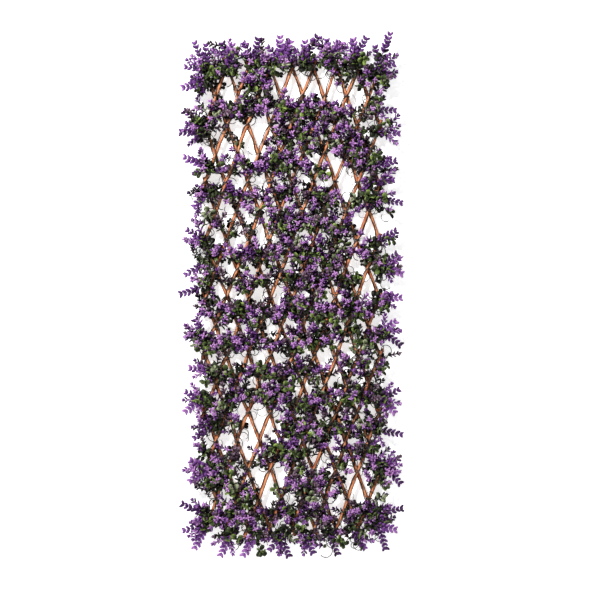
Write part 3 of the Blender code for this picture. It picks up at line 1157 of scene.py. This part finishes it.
def growTie(plan, chance, i, k):
    middle = crossing(i, k, (frontMiddle + backMiddle) / 2)
    tilt = chance.uniform(-tieLook["tilt"], tieLook["tilt"])
    flat = Vector((cos(tilt), 0, sin(tilt)))
    up = Vector((-sin(tilt), 0, cos(tilt)))
    deep = (backHigh.y - frontLow.y) / 2 + tieLook["radius"]
    places = []
    turns = chance.choice(tieLook["turns"])
    count = int(tieLook["pointsPerTurn"] * turns)
    lift = chance.uniform(-tieLook["lift"], tieLook["lift"])
    for n in range(count + 1):
        angle = tau * turns * n / count
        drift = up * (lift + tieLook["drift"] * (n / count - 0.5) * 2)
        loop = flat * sin(angle) * tieLook["reach"] + towardsViewer * cos(angle) * deep
        places.append(middle + loop + drift)
    addStem(plan, places, tieLook["radius"])
    addCurl(plan, chance, places[-1], tieLook["radius"])


plans = {key: {"sprigs": [], "stems": []} for key in sticks}
for key, stick in sticks.items():
    growVine(plans[key], stick)
    for i, k in stick.places:
        if stick.layer == "front" and stick.chance.random() < garlandLook["tieShare"]:
            growTie(plans[key], stick.chance, i, k)

anchors = []
spots = random.Random(layout["seed"])
edgeChance = random.Random(layout["edgeSeed"])


def growOnStick(key, i, k, mark):
    stick = sticks[key]
    root = stick.at(stick.distanceTo(crossing(i, k, stick.depth)))
    root += towardsViewer * (stickThickness / 2 + layout["lift"])
    growBunch(plans[key], stick.chance, root, stick.upward, stick.across, mark)
    anchors.append((root, key))


# Bunches halfway between the crossings, then small ones at some of the crossings
for k in range(rows):
    for i in range(columns):
        mark = spots.choice(layout["kinds"])
        if isOpen(i + 0.5, k + 0.5, layout["openShares"]):
            continue
        onBack = (i + k) % 2 == 0
        key = ("back", middleNumber + (k - i) // 2) if onBack else ("front", (i + k + 1) // 2)
        growOnStick(key, i + 0.5, k + 0.5, mark)
for k in range(rows + 1):
    for i in range(columns + 1):
        filled = spots.random() < layout["crossingShare"]
        away = not isOpen(i, k, layout["crossingOpenShares"])
        if (i + k) % 2 == 0 and not isCorner(i, k) and filled and away:
            growOnStick(("front", (i + k) // 2), i, k, "s")


def cornerPlaces():
    near = layout["cornerShare"]
    right = columns - near
    bottom = rows - near
    return (near, near, "back"), (right, bottom, "back"), (right, near, "front"), (near, bottom, "front")


for i, k, layer in cornerPlaces():
    root = crossing(i, k, frontLow.y)
    growBunch(plans[layer, middleNumber], edgeChance, root, skyward, rightward, "s")
    anchors.append((root, (layer, middleNumber)))


def nearestAnchor(place):
    return min(anchors, key=lambda anchor: (anchor[0] - place).length)


def rimPlaces():
    out, spacing = layout["rimOutShare"], layout["rimSpacingShare"]
    for n in range(1, int(rows / spacing) + 1):
        yield -out, n * spacing
        yield columns + out, n * spacing
        yield n * spacing, -out
        yield n * spacing, rows + out


for n, (i, k) in enumerate(rimPlaces()):
    place = crossing(i, k, frontLow.y)
    root, key = nearestAnchor(place)
    mark = "s" if n % layout["rimMixedEvery"] else "m"
    growBunch(plans[key], edgeChance, place, skyward, rightward, mark)
    addStem(plans[key], [root, place])
    anchors.append((place, key))

edgeLook = {
    "kind": "edge",
    "tint": (-0.44, 0.1),
    "rootDepth": -0.023,
    "stemOverlap": 0.004,
    "besideKind": "long",
    "besideShare": 0.65,
    "besideTurn": (26, 46),
    "besideReachShares": (0.6, 0.85),
    "besideDepth": 0.006,
}


def edgePlace(edge, along, reach):
    if edge == "left":
        return -reach, along
    if edge == "right":
        return columns + reach, along
    if edge == "top":
        return along, -reach
    return along, rows + reach


def edgePlaces():
    chance = random.Random(layout["seed"])
    for edge, row in edgeShares.items():
        length = columns if edge in ("top", "bottom") else rows
        for n in range(round((length - 2 * row["first"]) / row["spacing"]) + 1):
            reach = chance.uniform(*row["reach"])
            place = row["first"] + n * row["spacing"]
            if not any(low < place < high for low, high in row["bare"]):
                yield edgePlace(edge, place, reach)


def growEdgeSprig(i, k):
    tip = crossing(i, k, garlandLook["edgeDepth"])
    root, key = nearestAnchor(tip)
    direction = (tip - root).normalized()
    base = tip - direction * sprigLength(edgeLook["kind"])
    base.y = min(base.y, edgeLook["rootDepth"])
    direction = (tip - base).normalized()
    tint = edgeChance.uniform(*edgeLook["tint"])
    addSprig(plans[key], edgeChance, base, direction, edgeLook["kind"], 1.0, tint)
    addStem(plans[key], [root, base + direction * edgeLook["stemOverlap"]])
    for side in (-1, 1):
        if edgeChance.random() > edgeLook["besideShare"]:
            continue
        turned = direction.copy()
        turn = radians(edgeChance.uniform(*edgeLook["besideTurn"]))
        turned.rotate(Quaternion(towardsViewer, side * turn))
        reach = (tip - root).length * edgeChance.uniform(*edgeLook["besideReachShares"])
        start = root + turned * max(0.0, reach - sprigLength(edgeLook["besideKind"]))
        depth = edgeChance.uniform(-edgeLook["besideDepth"], edgeLook["besideDepth"])
        start.y = garlandLook["edgeDepth"] + depth
        tint = edgeChance.uniform(*edgeLook["tint"])
        addSprig(plans[key], edgeChance, start, turned, edgeLook["besideKind"], 1.0, tint)


for i, k in edgePlaces():
    growEdgeSprig(i, k)
print("Foliage planned")

garlandSettings = {
    "Sprigs": sprigFamily, "Stem Sides": garlandLook["stemSides"], "Leaf": mouldedLeaf, "Stem": darkStem,
}
for (layer, number), plan in plans.items():
    name = f"garland{layer.capitalize()}{number:02d}"
    piece = grow(name, plan["stems"], plan["sprigs"], garlandTree, garlandSettings)
    node = f"flower_garland_{number:02d}" if layer == "front" else f"leaf_garland_{number:02d}"
    if (layer, number) != ("back", 1):
        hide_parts(node)
    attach(piece, sticks[layer, number].name)
print("Garlands grown")

for source in list(sources.objects):
    bpy.data.objects.remove(source)
for family in (sources, sprigFamily):
    bpy.data.collections.remove(family)

# The stage: a white wall just behind, a pale floor below, and soft light from the upper left
stage = {
    "wallY": 0.004,
    "wallSize": 7.0,
    "floorZ": -0.82,
    "wallShade": (0.92, 0.92, 0.92, 1),
    "wallGlow": 0.7,
    "floorShade": (0.82, 0.82, 0.81, 1),
    "roughness": 0.95,
    "specular": 0.1,
}


def makeStagePlane(name, shade, glow, oneSided):
    shape = bmesh.new()
    bmesh.ops.create_grid(shape, x_segments=1, y_segments=1, size=stage["wallSize"] / 2)
    plane = addObject(name, toMesh(shape, name))
    finish, tree, shader = startMaterial(name + "Finish")
    setInputs(shader, {
        "Base Color": shade, "Roughness": stage["roughness"], "Specular IOR Level": stage["specular"],
        "Emission Color": shade, "Emission Strength": glow,
    })
    if oneSided:
        seen = addNode(tree, "ShaderNodeLightPath").outputs["Is Camera Ray"]
        behind = addNode(tree, "ShaderNodeNewGeometry").outputs["Backfacing"]
        clear = addNode(tree, "ShaderNodeBsdfTransparent")
        mix = addNode(tree, "ShaderNodeMixShader", {
            0: addMath(tree, "SUBTRACT", seen, behind, clamp=True),
            1: clear.outputs[0], 2: shader.outputs[0],
        })
        setInputs(tree.nodes["Material Output"], {"Surface": mix.outputs[0]})
    plane.data.materials.append(finish)
    return plane


wall = makeStagePlane("wall", stage["wallShade"], stage["wallGlow"], True)
wall.rotation_euler = (pi / 2, 0, 0)
wall.location = (0, stage["wallY"], 0)
floor = makeStagePlane("floor", stage["floorShade"], 0.0, False)
floor.location = (0, 0, stage["floorZ"])

lights = (
    {"name": "key", "place": (-1.5, -2.4, 1.9), "size": 0.4, "power": 150},
    {"name": "fill", "place": (1.8, -3.0, 0.4), "size": 2.4, "power": 12},
    {"name": "back", "place": (-1.2, 2.6, 1.2), "size": 1.6, "power": 70},
)
for settings in lights:
    lamp = bpy.data.lights.new(settings["name"], "AREA")
    lamp.size = settings["size"]
    lamp.energy = settings["power"]
    made = addObject(settings["name"], lamp)
    made.location = settings["place"]
    made.rotation_euler = (-made.location).to_track_quat("-Z", "Y").to_euler()

# The world glows softly, and more where the camera sees it
studio = {"softLight": 0.1, "seenGlow": 0.8}
world = bpy.data.worlds.new("studio")
world.use_nodes = True
sky = world.node_tree.nodes["Background"]
seen = addNode(world.node_tree, "ShaderNodeLightPath").outputs["Is Camera Ray"]
extraGlow = studio["seenGlow"] - studio["softLight"]
setInputs(sky, {
    "Color": (1, 1, 1, 1),
    "Strength": addWeighted(world.node_tree, studio["softLight"], seen, extraGlow),
})
bpy.context.scene.world = world
bpy.context.scene.view_settings.view_transform = "Standard"

# The camera: 2.2 mm to a pixel at the screen, aimed where the photograph is
view = {
    "lens": 85.0,
    "sensor": 36.0,
    "frameWidth": 1.32,
    "middleX": 0.0176,
    "middleZ": -0.0055,
    "screenDepth": 0.02,
}
eye = bpy.data.cameras.new("camera")
eye.lens = view["lens"]
eye.sensor_width = view["sensor"]
camera = addObject("camera", eye)
distance = view["frameWidth"] * view["lens"] / view["sensor"]
camera.location = (view["middleX"], -distance - view["screenDepth"], view["middleZ"])
camera.rotation_euler = (pi / 2, 0, 0)
bpy.context.scene.camera = camera
